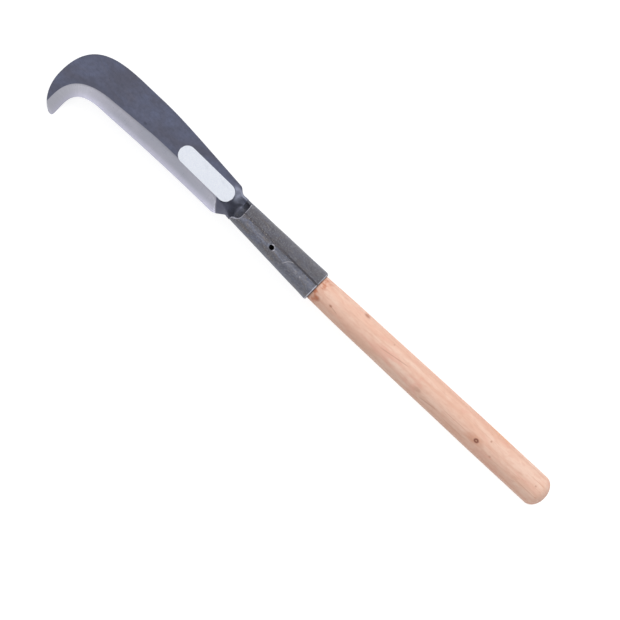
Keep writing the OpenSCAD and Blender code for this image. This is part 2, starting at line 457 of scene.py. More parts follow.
def blade_plan():
    """Places in plan of the rows of iron and steel, column by column."""
    body_start = SECTIONS[0][1]
    iron, steel, past_grind = [], [], []
    for k, (spine, edge) in enumerate(zip(spine_rail, edge_rail)):
        iron_rows, steel_rows, past = column(spine, edge, k >= body_start)
        iron.append(spine + iron_rows[:, None] * (edge - spine))
        steel.append(spine + steel_rows[:, None] * (edge - spine))
        past_grind.append(past)
    return np.array(iron), np.array(steel[body_start:]), np.array(past_grind)


def sheet_pair(plan, high, low, rounding):
    """Upper and lower grid of a sheet, thinned at its rounded borders."""
    middle = np.concatenate([plan, dish(plan)[..., None]], axis=-1)
    normal = dish_normal(plan)
    centre = (high + low) / 2
    half = np.maximum((high - low) / 2, THINNEST / 2) * rounding
    upper = middle + normal * (centre + half)[..., None]
    lower = middle + normal * (centre - half)[..., None]
    return upper, lower


def from_border(plan, place):
    """Distance of each point of a grid from the first or last point of its column."""
    return np.linalg.norm(plan - plan[:, place : place + 1 or None], axis=-1)


def make_iron(plan, past_grind):
    """The blade's iron with its neck, recessed behind the bevel for the hard steel."""
    body_start = SECTIONS[0][1]
    share = bevel_share(plan)
    share[:body_start] *= ease((np.arange(body_start) - body_start + 5) / 5)[:, None]
    in_body = (np.arange(len(plan)) >= body_start)[:, None]
    recess = ease(past_grind / GRIND_SOFT) * in_body
    place = np.concatenate([plan, plan[..., :1] * 0], axis=-1)
    lumps = 0.06 * ripple(place, (26, 11, 9)) + 0.025 * ripple(place, (7, 5, 5), 4.0) - 0.06
    lumps = lumps * np.clip(1 - share * 20, 0, 1)
    high = HALF_T - share * FULL_DEPTH + lumps
    low = -HALF_T + STEEL_T * recess
    neck = 1 - ease((np.arange(len(plan)) - body_start + 4) / 4)[:, None]
    cutting_side = round_over(from_border(plan, -1), 1.0) * neck + (1 - neck)
    rounding = round_over(from_border(plan, 0), 0.9) * cutting_side
    spent = bevel_share(plan[:, 0]) > LAMINATION - 0.04
    stop = int(np.argmax(spent)) if spent.any() else len(plan)
    upper, lower = sheet_pair(plan, high, low, rounding)
    return shell("blade_iron", upper[:stop], lower[:stop])


def make_steel(plan):
    """Hard steel laid on the back of the edge, which carries the cutting edge."""
    high = np.minimum(HALF_T - bevel_share(plan) * FULL_DEPTH, STEEL_TOP)
    low = np.full_like(high, -HALF_T)
    upper, lower = sheet_pair(plan, high, low, 1.0)
    return shell("laid_edge_steel", upper, lower)


def make_blade_and_edge():
    """The blade's two metals, marked for their material."""
    iron_plan, steel_plan, past_grind = blade_plan()
    blade = make_iron(iron_plan, past_grind)
    edge = make_steel(steel_plan)
    for piece in (blade, edge):
        points = points_of(piece)
        gap, along = edge_place(points[:, :2])
        width = bevel_width(along)
        behind = points[:, 2] < -HALF_T + 0.12
        ground = np.where(behind, gap < 2.2, gap < width + 0.05)
        mark(piece, "ground", ground * past_heel(points[:, :2]))
        mark(piece, "along", along)
        mark(piece, "across", gap)
        mark(piece, "upper", points[:, 2] > dish(points[:, :2]))
    return blade, edge


# ---- Socket ----


def socket_to_frame(u, side, height):
    """Points given along, beside and above the socket's axis, in the part's frame."""
    x = MOUTH_X + u * math.cos(LEAN) + side * math.sin(LEAN)
    y = -u * math.sin(LEAN) + side * math.cos(LEAN)
    return np.stack([x, y, height], axis=-1)


def rolled(u, radius, angle):
    """Points at a radius and an angle from the top, round the socket's axis."""
    return socket_to_frame(u, radius * np.sin(angle), radius * np.cos(angle))


def outer_radius(u):
    """Outer radius of the cone this far from its mouth."""
    return MOUTH_R - (MOUTH_R - FRONT_R) * u / SOCKET_LEN


def socket_end(angle):
    """Where the socket ends at this angle from its top: its upper half is cut back."""
    reach = np.full_like(angle, float(SOCKET_LEN))
    edge_side = ease((np.sin(angle) + 0.25) / 0.5)
    for _ in range(4):
        height = np.maximum((outer_radius(reach) - WALL / 2) * np.cos(angle) - HALF_T, 0)
        square_cut = ease(height / 2.5) * (4.7 + 0.21 * height)
        slanted_cut = 7 * ease((height - 4) / 6.2)
        reach = SOCKET_LEN - square_cut * (1 - edge_side) - slanted_cut * edge_side
    return reach


def crowded(count, total, steps=(0, 0.12, 0.35, 0.7, 1.2)):
    """Places from 0 to total, close together at both ends."""
    steps = list(steps)
    inner = np.linspace(steps[-1], total - steps[-1], count)[1:-1]
    return np.concatenate([steps, inner, [total - s for s in reversed(steps)]])


def half_wall(u, end, from_seam):
    """Half of the socket's thickness, thinned over its rounded borders."""
    cut_back = end < SOCKET_LEN - 0.02
    from_rim = np.where(cut_back, end - u, 9.0)
    half = WALL / 2 * round_over(np.minimum(from_seam, np.minimum(from_rim, u)), 0.8)
    return np.where(u < 1.4, WALL / 2 * round_over(u, 1.4, 0.25), half)


def socket_skin(u, end, from_seam, middle, angle):
    """Height of the hammered skin over the true cone, worn down at the mouth."""
    place = rolled(u, middle, angle)
    from_front = end - u
    dents = 0.16 * ripple(place, (17, 9, 9), 2.0) + 0.05 * ripple(place, (5, 3.5, 3.5), 7.0)
    near_seam = np.exp(-((from_seam / 3.2) ** 2)) * ease((from_front - 2) / 6)
    seam_lumps = near_seam * (0.14 * ripple(place, (6, 20, 20), 9.0) - 0.05)
    dents = dents * ease(from_front / 8) + seam_lumps
    dents = np.minimum(dents - 0.06, 0.1) * np.where(u < 12, ease(u / 12), 1)
    return dents - np.where(np.sin(angle) < 0, 0.75, 0.2) * np.clip(1 - u / 2.6, 0, 1) ** 2


def make_socket():
    """Sheet rolled into a cone, with an open seam, a cut-back rim and a nail hole."""
    half_gap = SEAM_W / 2 / (FRONT_R + 1.5)
    turn = 2 * math.pi - 2 * half_gap
    around = crowded(150, turn * FRONT_R) / FRONT_R
    angle = -SEAM_TURN + half_gap + around
    end = socket_end(angle)
    lengthwise = crowded(96, 1000, (0, 1.2, 3.6, 7, 12)) / 1000
    u = lengthwise[:, None] * end
    middle = outer_radius(u) - WALL / 2
    from_seam = np.minimum(around, turn - around) * middle
    half = half_wall(u, end, from_seam)
    outer = rolled(u, middle + half + socket_skin(u, end, from_seam, middle, angle), angle)
    socket = shell("rolled_socket", outer, rolled(u, middle - half, angle))
    bore_nail_hole(socket)
    mark(socket, "rim", worn_edges_and_glint(points_of(socket)))
    return socket


def worn_edges_and_glint(points):
    """1 on the socket's worn front rim and mouth, and on the nail hole's chamfer on its side towards
    the mouth as a painted highlight crescent; 0 elsewhere.
    """
    past, side = socket_place(points[:, :2])
    u = past + SOCKET_LEN
    height = points[:, 2]
    to_rim = np.abs(socket_end(np.arctan2(side, height)) - u)
    rim = np.exp(-((to_rim / 0.8) ** 2)) * ease((height - 3) / 3)
    mouth = 0.85 * np.exp(-(((u - 0.9) / 0.6) ** 2))
    out = side * math.sin(NAIL_TURN) + height * math.cos(NAIL_TURN)
    over = side * math.cos(NAIL_TURN) - height * math.sin(NAIL_TURN)
    to_nail = np.hypot(u - NAIL_AT, over)
    # The chamfer is bright only on its side towards the mouth: a painted highlight crescent
    towards_mouth = (NAIL_AT - u) * 0.73 - over * 0.68
    chamfer = (to_nail > NAIL_R + 0.05) & (to_nail < NAIL_R + 0.85)
    nail = np.where((out > 0) & chamfer & (towards_mouth > 0.4), 0.95, 0)
    return np.maximum(rim, np.maximum(mouth, nail))


def nail_drill():
    """Cutter for the nail hole: the hole itself and the chamfer at the outside."""
    top = outer_radius(NAIL_AT)
    wood_top = TENON_R[0] - (TENON_R[0] - TENON_R[1]) * NAIL_AT / TENON_LEN
    sink = 0.75
    profile = [(wood_top - NAIL_DEPTH, 0.4), (wood_top - NAIL_DEPTH, NAIL_R - 0.3),
               (wood_top - NAIL_DEPTH + 0.3, NAIL_R), (top - sink, NAIL_R),
               (top - 0.3, NAIL_R + 0.28), (top + 1.2, NAIL_R + 1.9)]
    turns = np.linspace(0, 2 * math.pi, 49)[:-1]
    rings = []
    for height, radius in profile:
        ring_u = NAIL_AT + radius * np.cos(turns)
        ring_side = radius * np.sin(turns)
        up = np.full_like(turns, height)
        side = ring_side * math.cos(NAIL_TURN) + up * math.sin(NAIL_TURN)
        high = up * math.cos(NAIL_TURN) - ring_side * math.sin(NAIL_TURN)
        rings.append(socket_to_frame(ring_u, side, high))
    return tube("nail_drill", np.array(rings))


def bore_nail_hole(piece, sharp=35):
    """Cuts the nail hole into a piece."""
    drill = nail_drill()
    modifier = piece.modifiers.new("nail_hole", "BOOLEAN")
    modifier.operation = "DIFFERENCE"
    modifier.solver = "EXACT"
    modifier.object = drill
    graph = bpy.context.evaluated_depsgraph_get()
    graph.update()
    mesh = bpy.data.meshes.new_from_object(piece.evaluated_get(graph))
    piece.modifiers.clear()
    piece.data = mesh
    mesh.shade_smooth()
    mesh.set_sharp_from_angle(angle=math.radians(sharp))
    bpy.data.objects.remove(drill)


def make_weld():
    """Bead that fills the seam: rough and nearly flush, sunk in a line at the mouth."""
    start = 0.4
    stop = SOCKET_LEN - 6.9
    steps = np.linspace(0, 1, 150)
    profile = np.linspace(0, 2 * math.pi, 25)[:-1]
    rings = []
    for share in steps:
        place = start + (stop - start) * share
        sample = np.array([[place, 0.0, 0.0]])
        welded = 0.3 + 0.7 * float(ease((place - 26) / 22))
        wide = 0.55 + 0.85 * welded + (0.12 + 0.4 * welded) * ripple(sample, (3.2, 1, 1))[0]
        proud = -0.22 + 0.32 * welded + 0.13 * welded * ripple(sample, (2.1, 1, 1), 5.0)[0]
        end = math.sqrt(max(0.03, 1 - abs(2 * share - 1) ** 60))
        wander = (0.15 + 0.3 * welded) * ripple(sample, (9, 1, 1), 3.0)[0]
        radius = outer_radius(place)
        side = wide * end * np.cos(profile) + wander
        above = (proud + SEAM_DEEP) * np.sin(profile)
        below = 0.9 * np.sin(profile)
        lift = radius - SEAM_DEEP + np.where(np.sin(profile) > 0, above, below) * end
        angle = -SEAM_TURN + side / radius
        rings.append(rolled(np.full_like(side, place), lift, angle))
    return tube("seam_bead", np.array(rings), 60)


# ---- Handle ----


def from_butt(d, y):
    """Place this far from the handle's butt, and sideways."""
    return (BUTT_X + d, y)


KNOT = from_butt(81.6, 4.2)


def wood_radius(x):
    """Radius of the handle at a distance from the butt, up to the socket's mouth."""
    grip_end = BUTT_LEN + GRIP_LEN
    length = MOUTH_X - BUTT_X
    waist = length - WAIST_LEN
    slope = (GRIP_R - WAIST_R) / (waist - grip_end)
    drop_r = WAIST_R - WOOD_R
    steady = min(slope * WAIST_LEN, drop_r / 2)
    late = np.clip((x - waist) / WAIST_LEN, 0, 1)
    dome = np.sqrt(np.clip(1 - (1 - np.clip(x / BUTT_LEN, 0, 1)) ** 2, 0, 1))
    taper = slope * np.clip(x - grip_end, 0, waist - grip_end)
    return GRIP_R * dome - taper - steady * late - (drop_r - steady) * late**2


def wood_rings():
    """Rings of the turned handle from its butt to the nose of its tenon."""
    length = MOUTH_X - BUTT_X
    dome = BUTT_LEN * (1 - np.cos(np.linspace(0.03, math.pi / 2, 22)))
    body = np.linspace(BUTT_LEN, length, 230)[1:]
    shank = np.linspace(0, TENON_LEN - 2, 40)[1:]
    nose = TENON_LEN - 2 + np.array([0.5, 1, 1.5, 2])
    turns = np.linspace(0, 2 * math.pi, 145)[:-1]
    rings = []
    for x in np.concatenate([dome, body]):
        radius = float(wood_radius(x))
        place = np.full_like(turns, BUTT_X + x)
        rings.append(np.stack([place, radius * np.sin(turns), radius * np.cos(turns)], axis=-1))
    for past in np.concatenate([shank, nose]):
        radius = TENON_R[0] + (TENON_R[1] - TENON_R[0]) * past / TENON_LEN
        radius -= max(past - TENON_LEN + 2, 0)
        rings.append(rolled(np.full_like(turns, past), radius, turns))
    return np.array(rings)


def wood_swell(rings):
    """Shallow waves outside the socket, and the rim and hollow of the knot."""
    free = ease((MOUTH_X - rings[..., 0]) / 12) * ease((rings[..., 0] - BUTT_X) / 6)
    outward = rings * [0, 1, 1]
    outward = outward / np.maximum(np.linalg.norm(outward, axis=-1, keepdims=True), 0.01)
    waves = 0.11 * ripple(rings, (60, 13, 13), 1.0) + 0.03 * ripple(rings, (18, 4, 4), 6.0)
    above = rings[..., 2] > 0
    from_knot = np.hypot(rings[..., 0] - KNOT[0], rings[..., 1] - KNOT[1])
    knot = np.exp(-((from_knot - 2.3) / 0.9) ** 2) * 0.12 - np.exp(-(from_knot / 1.1) ** 2) * 0.2
    return outward * ((waves - 0.1) * free + knot * above)[..., None]


def make_handle():
    """Turned handle with a rounded butt, a knot, and its tenon inside the socket."""
    rings = wood_rings()
    handle = tube("wooden_handle", rings + wood_swell(rings), 40)
    bore_nail_hole(handle, 40)
    return handle


# ---- Label ----

LABEL_LEN = 65
LABEL_W = 17
LABEL_TURN = math.radians(1.4)


def make_label():
    """Blank paper label with round ends that follows the blade's face."""
    centre = (label_low + label_high)[:2] / 2
    radius = LABEL_W / 2
    reach = LABEL_LEN / 2
    ends = reach - radius * np.sin(np.linspace(0, math.pi / 2, 16))[::-1]
    middle = np.linspace(-(reach - radius), reach - radius, 60)
    xs = np.sort(np.unique(np.round(np.concatenate([-ends, middle, ends]), 4)))
    over = np.maximum(np.abs(xs) - (reach - radius), 0)
    widths = np.sqrt(np.maximum(radius**2 - over**2, 0.35**2))
    across = np.concatenate([[-1, -0.985], np.linspace(-0.95, 0.95, 25), [0.985, 1]])
    x = np.broadcast_to(xs[:, None], (len(xs), len(across)))
    y = widths[:, None] * across[None, :]
    plan_x = centre[0] + x * math.cos(LABEL_TURN) + y * math.sin(LABEL_TURN)
    plan_y = centre[1] - x * math.sin(LABEL_TURN) + y * math.cos(LABEL_TURN)
    plan = np.stack([plan_x, plan_y], axis=-1)
    sheet = dish(plan) + HALF_T - bevel_share(plan) * FULL_DEPTH
    bridged = np.maximum(sheet, HALF_T - 0.35)
    place = np.concatenate([plan, bridged[..., None]], axis=-1)
    lift = 0.05 + 0.03 * ripple(place, (9, 6, 5), 8.0)
    curl = 0.18 * ease((np.abs(x) - reach + 3.5) / 3.5) * ease(-x / reach + 0.2)
    upper = place + np.stack([x * 0, x * 0, lift + curl + 0.08], axis=-1)
    lower = upper - [0, 0, 0.11]
    return shell("blank_label", upper, lower)


# ---- Materials ----


def feed(tree, value, socket):
    """Feeds a socket from another node, or sets it to a plain value."""
    if isinstance(value, bpy.types.NodeSocket):
        tree.links.new(value, socket)
    else:
        socket.default_value = value


def math_node(tree, operation, a, b):
    """A node that works on two numbers, each plain or from another node."""
    node = tree.nodes.new("ShaderNodeMath")
    node.operation = operation
    feed(tree, a, node.inputs[0])
    feed(tree, b, node.inputs[1])
    return node.outputs[0]


class Surface:
    """A node material, with short calls for the few nodes that it needs."""

    def __init__(self, name):
        self.material = bpy.data.materials.new(name)
        self.material.use_nodes = True
        self.tree = self.material.node_tree
        self.shader = self.tree.nodes["Principled BSDF"]
        self.place = self.scaled(self.node("TexCoord").outputs["Object"], (1 / MM,) * 3)

    def link(self, value, socket):
        feed(self.tree, value, socket)

    def node(self, kind, values=()):
        """A new node of a kind, with some of its inputs set or fed."""
        made = self.tree.nodes.new("ShaderNode" + kind)
        for name, value in dict(values).items():
            self.link(value, made.inputs[name])
        return made

    def scaled(self, vector, by):
        """A vector times a plain one, part by part."""
        node = self.node("VectorMath", {0: vector, 1: by})
        node.operation = "MULTIPLY"
        return node.outputs[0]

    def times(self, a, b):
        return math_node(self.tree, "MULTIPLY", a, b)

    def plus(self, a, b):
        return math_node(self.tree, "ADD", a, b)

    def minus(self, a, b):
        return math_node(self.tree, "SUBTRACT", a, b)

    def absolute(self, a):
        return math_node(self.tree, "ABSOLUTE", a, 0.0)

    def noise(self, size, detail=3.0, vector=None, rough=0.55, warp=0.0):
        """Noise from 0 to 1 whose bumps are about size millimetres along X, Y and Z."""
        place = self.scaled(vector or self.place, tuple(1 / s for s in size))
        values = {"Vector": place, "Scale": 1.0, "Detail": detail, "Roughness": rough,
                  "Distortion": warp}
        return self.node("TexNoise", values).outputs[0]

    def between(self, value, low, high, start=0.0, stop=1.0):
        """Smooth change from start to stop as value goes from low to high."""
        values = {"Value": value, "From Min": low, "From Max": high, "To Min": start,
                  "To Max": stop}
        node = self.node("MapRange", values)
        node.interpolation_type = "SMOOTHSTEP"
        return node.outputs[0]

    def patches(self, size, low, high, most=1.0, **kind):
        """Soft patches from 0 to most, where noise of this size goes from low to high."""
        return self.between(self.noise(size, **kind), low, high, 0.0, most)

    def mix(self, share, a, b):
        """Colour a, and colour b where share is 1."""
        node = self.node("Mix")
        node.data_type = "RGBA"
        for value, place in ((share, 0), (a, 6), (b, 7)):
            self.link(value, node.inputs[place])
        return node.outputs[2]

    def mark(self, name):
        """A number that the mesh stores at each vertex."""
        node = self.node("Attribute")
        node.attribute_name = name
        return node.outputs["Fac"]

    def vector(self, x, y, z=0.0):
        return self.node("CombineXYZ", {"X": x, "Y": y, "Z": z}).outputs[0]

    def parts(self):
        """The X, Y and Z of the place in the part's frame."""
        return self.node("SeparateXYZ", {0: self.place}).outputs

    def near(self, centre, sizes, soft=0.5):
        """1 within an ellipsoid of these half sizes, fading to 0 outside it."""
        away = self.node("VectorMath", {0: self.place, 1: centre})
        away.operation = "SUBTRACT"
        scaled = self.scaled(away.outputs[0], tuple(1 / s for s in sizes))
        size = self.node("VectorMath", {0: scaled})
        size.operation = "LENGTH"
        return self.between(size.outputs["Value"], 1 - soft, 1 + soft, 1.0, 0.0)

    def stroke(self, start, stop, wide, dark, floor=0.0):
        """Up to dark along a soft line between two places, above the height floor."""
        x, y, z = self.parts()
        long = math.hypot(stop[0] - start[0], stop[1] - start[1]) / 2
        turn = math.atan2(stop[1] - start[1], stop[0] - start[0])
        x = self.minus(x, (start[0] + stop[0]) / 2)
        y = self.minus(y, (start[1] + stop[1]) / 2)
        along = self.plus(self.times(x, math.cos(turn)), self.times(y, math.sin(turn)))
        across = self.minus(self.times(y, math.cos(turn)), self.times(x, math.sin(turn)))
        length = self.between(self.absolute(along), long * 0.6, long, dark, 0.0)
        width = self.between(self.absolute(across), wide * 0.5, wide * 1.8, 1.0, 0.0)
        top = self.between(z, floor, floor + 2.0)
        return self.times(self.times(length, width), top)

    def bump(self, height, distance, after=None):
        """Bump of this many millimetres, on top of another bump if one is given."""
        node = self.node("Bump", {"Height": height, "Distance": distance * MM, "Strength": 1.0})
        if after is not None:
            self.link(after, node.inputs["Normal"])
        return node.outputs[0]

    def finish(self, tint, roughness, metallic, normal):
        """Gives the shader its values and returns the material."""
        values = {"Base Color": tint, "Roughness": roughness, "Metallic": metallic,
                  "Normal": normal}
        for name, value in values.items():
            self.link(value, self.shader.inputs[name])
        return self.material


def colour(red, green, blue):
    """Linear colour from one given in 0 to 255 screen values."""
    linear = []
    for value in (red, green, blue):
        v = value / 255
        linear.append(v / 12.92 if v <= 0.04045 else ((v + 0.055) / 1.055) ** 2.4)
    return (*linear, 1.0)


def blued_colour(s):
    """Dark oxide on forged steel, with bluish and brownish blotches."""
    broad = s.noise((34, 20, 20), 3.0, warp=0.6)
    fine = s.noise((3.2, 2.2, 2.2), 5.0)
    tone = s.mix(s.between(broad, 0.35, 0.68), colour(94, 95, 111), colour(102, 107, 130))
    brown = s.patches((22, 15, 15), 0.58, 0.78, 0.18, detail=2.0, warp=1.2)
    tone = s.mix(brown, tone, colour(112, 106, 112))
    return s.mix(s.between(fine, 0.3, 0.75, 0.0, 0.4), tone, colour(74, 76, 90))


def ground_colour(s, along, across):
    """Bright ground steel, with painted reflection brightening the hook and a cool tint along the
    very edge that is partly a honed zone and partly painted reflection.
    """
    broad = s.noise((40, 12, 12), 2.0)
    tone = s.mix(s.between(broad, 0.35, 0.65), colour(139, 140, 150), colour(148, 147, 157))
    # Painted reflection: the bevel is brightened towards the hook
    tone = s.mix(s.between(along, 150, 178, 0.0, 0.85), tone, colour(174, 174, 183))
    # Cool tint along the very edge: a honed zone, partly painted reflection
    cool = s.between(across, 0.0, 7.0, 0.7, 0.0)
    return s.mix(cool, tone, colour(180, 179, 197))


# Small pits on the blued flat
BLADE_PITS = [back(48, 4), back(54.1, 3.3), back(73.7, 6.6), back(88, -3)]
# Height that the painted highlight streaks in the neck's trough reach down to
TROUGH_FLOOR = -9


def flat_colour(s, across, pits):
    """Blued flat with its pits, darker beside the grind line."""
    tone = s.mix(s.times(pits, 0.7), blued_colour(s), colour(48, 48, 56))
    for pit in BLADE_PITS:
        hollow = s.near((*pit, HALF_T), (1.7, 1.0, 3), 0.6)
        tone = s.mix(s.times(hollow, 0.45), tone, colour(52, 52, 62))
    return s.mix(s.between(across, 13.5, 21, 0.35, 0.0), tone, colour(84, 86, 102))


def neck_colour(s, tone):
    """Paler gritty steel over the neck, lightened near the socket partly as painted light against
    the trough's shade, with two painted highlight streaks on its spine side.
    """
    x = s.parts()[0]
    upper = s.mark("upper")
    # Paler steel near the socket, partly painted light that lifts the shade in the trough
    near_socket = s.between(x, FRONT_X, FRONT_X + 18, 0.5, 0.0)
    tone = s.mix(s.times(near_socket, upper), tone, colour(122, 124, 136))
    # Painted highlights: two pale streaks stand for light on the trough's spine-side wall
    painted_sheen = s.stroke(ahead(5, -13.5), ahead(-20, -11), 3.6, 0.5, TROUGH_FLOOR)
    tone = s.mix(s.times(painted_sheen, upper), tone, colour(176, 181, 202))
    wall = s.stroke(ahead(-2, -10.5), ahead(-16, -9), 3.4, 0.75, TROUGH_FLOOR)
    tone = s.mix(s.times(wall, upper), tone, colour(200, 206, 228))
    grit = s.patches((0.9, 0.7, 0.7), 0.54, 0.68)
    rough_neck = s.between(x, FRONT_X - 2, FRONT_X + 20, 0.5, 0.0)
    return s.mix(s.times(grit, rough_neck), tone, colour(132, 132, 140))


def blade_material(name):
    """Blued flat and bright bevel, told apart by the mark that the mesh carries."""
    s = Surface(name)
    ground = s.between(s.mark("ground"), 0.15, 0.75)
    across = s.mark("across")
    along = s.mark("along")
    strokes = s.vector(along, across)
    brush = s.noise((0.35, 16, 1), 3.0, strokes)
    scratch = s.between(s.noise((0.9, 30, 1), 2.0, strokes), 0.62, 0.72)
    pits = s.patches((1.3, 1.1, 1.1), 0.70, 0.78, detail=2.0)
    dark = neck_colour(s, flat_colour(s, across, pits))
    bright = s.mix(s.between(brush, 0.3, 0.7, 0.0, 0.35), ground_colour(s, along, across),
                   colour(140, 141, 152))
    rough_dark = s.between(s.noise((12, 8, 8), 4.0), 0.3, 0.7, 0.36, 0.5)
    rough_bright = s.between(brush, 0.2, 0.8, 0.26, 0.42)
    rough = s.plus(rough_dark, s.times(ground, s.minus(rough_bright, rough_dark)))
    skin = s.bump(s.noise((1.6, 1.2, 1.2), 5.0), 0.05)
    skin = s.bump(pits, -0.08, skin)
    skin = s.bump(s.times(ground, s.plus(brush, scratch)), 0.012, skin)
    metallic = s.between(ground, 0.0, 1.0, 0.72, 1.0)
    return s.finish(s.mix(ground, dark, bright), rough, metallic, skin)


def scale_colour(s):
    """Forge scale: grey, blue and brown blotches with bright worn flecks."""
    broad = s.noise((26, 9, 9), 4.0, warp=0.8)
    tone = s.mix(s.between(broad, 0.36, 0.66), colour(101, 102, 110), colour(114, 119, 138))
    brown = s.patches((15, 7, 7), 0.53, 0.70, 0.8, warp=1.0)
    tone = s.mix(brown, tone, colour(112, 104, 100))
    mottle = s.patches((2.6, 1.8, 1.8), 0.36, 0.66, 0.6, detail=6.0, rough=0.65)
    tone = s.mix(mottle, tone, colour(82, 83, 92))
    flecks = s.patches((1.5, 1.0, 1.0), 0.71, 0.77)
    tone = s.mix(s.times(flecks, 0.7), tone, colour(168, 168, 176))
    return tone, s.between(broad, 0.3, 0.7, 0.40, 0.54)


def from_mouth(d, y):
    """Place this far from the socket's mouth, and sideways."""
    return (MOUTH_X + d, y)


# Bright scratches on the socket: from, to
SCRATCHES = [(from_mouth(37.2, 6.0), from_mouth(33.6, -0.2)),
             (from_mouth(34.6, 0.8), from_mouth(26.8, -2.6)),
             (from_mouth(17.8, 3.4), from_mouth(16.2, 5.0))]


def seam_colour(s, tone):
    """Browner metal on the far side of the seam, with a dark wandering band beside it."""
    x, y, z = s.parts()
    wander = s.times(s.minus(s.noise((13, 8, 8), 3.0), 0.5), 5.0)
    lean = s.times(s.minus(x, MOUTH_X), 0.032)
    from_seam = s.plus(s.plus(s.plus(y, lean), 1.6), wander)
    above = s.between(z, 2.0, 6.0)
    browner = s.times(s.between(from_seam, -1.5, 0.5, 1.0, 0.0), above)
    tone = s.mix(s.times(browner, 0.55), tone, colour(100, 97, 100))
    band = s.between(s.absolute(from_seam), 0.4, 1.7, 0.5, 0.0)
    tone = s.mix(s.times(band, above), tone, colour(62, 61, 68))
    scuffs = s.patches((9, 1.2, 1.2), 0.60, 0.66, 0.6, warp=1.5)
    return s.mix(s.times(scuffs, above), tone, colour(152, 145, 142))


def socket_material():
    """Forge scale, scuffed and scratched, with bright metal on the worn edges and a painted
    highlight crescent in the nail hole's chamfer.
    """
    s = Surface("socket_scale")
    tone, rough = scale_colour(s)
    tone = seam_colour(s, tone)
    blots = s.patches((2.2, 1.5, 1.5), 0.5, 0.66, 0.5, detail=4.0)
    tone = s.mix(blots, tone, colour(84, 84, 92))
    grit = s.patches((0.9, 0.7, 0.7), 0.53, 0.66, 0.75)
    tone = s.mix(grit, tone, colour(146, 146, 152))
    for start, stop in SCRATCHES:
        tone = s.mix(s.stroke(start, stop, 0.22, 0.6), tone, colour(186, 182, 186))
    patchy = s.times(s.noise((3, 2, 2)), 0.4)
    # Bright worn metal on the rim and mouth, and a painted highlight crescent in the nail hole's
    # chamfer
    worn = s.between(s.plus(s.mark("rim"), patchy), 0.72, 0.98)
    tone = s.mix(worn, tone, colour(184, 184, 193))
    metallic = s.between(worn, 0.0, 1.0, 0.62, 0.9)
    skin = s.bump(s.noise((2.2, 1.6, 1.6), 6.0, rough=0.6), 0.16)
    return s.finish(tone, rough, metallic, skin)


def weld_material():
    """Weld bead: darker, rougher and spattered with bright specks, with painted shade on its sunk
    stretch by the mouth.
    """
    s = Surface("weld_bead")
    lumps = s.noise((1.6, 1.0, 1.0), 4.0)
    tone = s.mix(s.between(lumps, 0.35, 0.65), colour(76, 75, 82), colour(108, 104, 108))
    specks = s.patches((1.0, 0.8, 0.8), 0.62, 0.68, detail=2.0)
    zone = s.patches((11, 11, 11), 0.42, 0.56, detail=1.0)
    tone = s.mix(s.times(specks, zone), tone, colour(206, 200, 190))
    x = s.parts()[0]
    # Painted shade: the bead is darkened along its sunk stretch by the mouth
    groove_shade = s.between(x, MOUTH_X + 30, MOUTH_X + 50, 0.6, 0.0)
    tone = s.mix(groove_shade, tone, colour(58, 57, 64))
    skin = s.bump(lumps, 0.3)
    return s.finish(tone, 0.52, 0.6, skin)


# Dots on the wood: place, half length, half width, and how dark
WOOD_DOTS = [(from_butt(71.1, -4.4), 0.9, 0.9, 0.6), (from_butt(258.3, 4.4), 1.4, 1.0, 0.8),
             (from_butt(228.1, -12.0), 2.8, 1.6, 0.8), (from_butt(151, 6.3), 3.6, 1.8, 0.35),
             (from_butt(272.6, 8.0), 3.4, 2.3, 0.85), (from_butt(63, 6.5), 1.2, 0.8, 0.4),
             (from_butt(193, -9.0), 0.8, 0.6, 0.5), (from_butt(15, -2.0), 0.9, 0.8, 0.45)]
# Darker grain lines on the wood: from, to, and how dark
WOOD_LINES = [(from_butt(202.9, 1.6), from_butt(167.6, -3.6), 0.5),
              (from_butt(261.9, 3.8), from_butt(248.6, 6.2), 0.45),
              (from_butt(147, 10.5), from_butt(125, 8.0), 0.4)]


def wood_top(y):
    """Height of the grip's upper face this far sideways."""
    return math.sqrt(max(GRIP_R**2 - y**2, 1))


def grain_colour(s, rings, pores):
    """Pale pinkish wood with soft long grain, rosy patches and fine pores."""
    broad = s.noise((95, 12, 12), 3.0, warp=0.5)
    tone = s.mix(s.between(broad, 0.34, 0.66), colour(243, 207, 188), colour(237, 192, 170))
    tone = s.mix(s.between(rings, 0.44, 0.68, 0.0, 0.34), tone, colour(220, 168, 142))
    mottle = s.patches((8, 3, 3), 0.42, 0.66, 0.4, detail=5.0, warp=0.6)
    tone = s.mix(mottle, tone, colour(226, 174, 150))
    rosy = s.patches((30, 10, 10), 0.52, 0.72, 0.5, warp=0.8)
    tone = s.mix(rosy, tone, colour(232, 170, 150))
    tone = s.mix(pores, tone, colour(190, 138, 112))
    streaks = s.patches((120, 1.6, 1.6), 0.64, 0.72, 0.55, detail=2.0, warp=0.3)
    return s.mix(streaks, tone, colour(206, 150, 122))


def wood_marks(s, tone):
    """Dark grain lines, an orange streak and small dots."""
    for start, stop, dark in WOOD_LINES:
        tone = s.mix(s.stroke(start, stop, 0.3, dark), tone, colour(176, 122, 98))
    orange = s.stroke(from_butt(85, -15.0), from_butt(53, -14.2), 1.2, 0.4)
    tone = s.mix(orange, tone, colour(228, 160, 112))
    for place, long, wide, dark in WOOD_DOTS:
        dot = s.near((*place, wood_top(place[1]) - 1), (long, wide, 4), 0.6)
        tone = s.mix(s.times(dot, dark), tone, colour(176, 116, 92))
    return tone


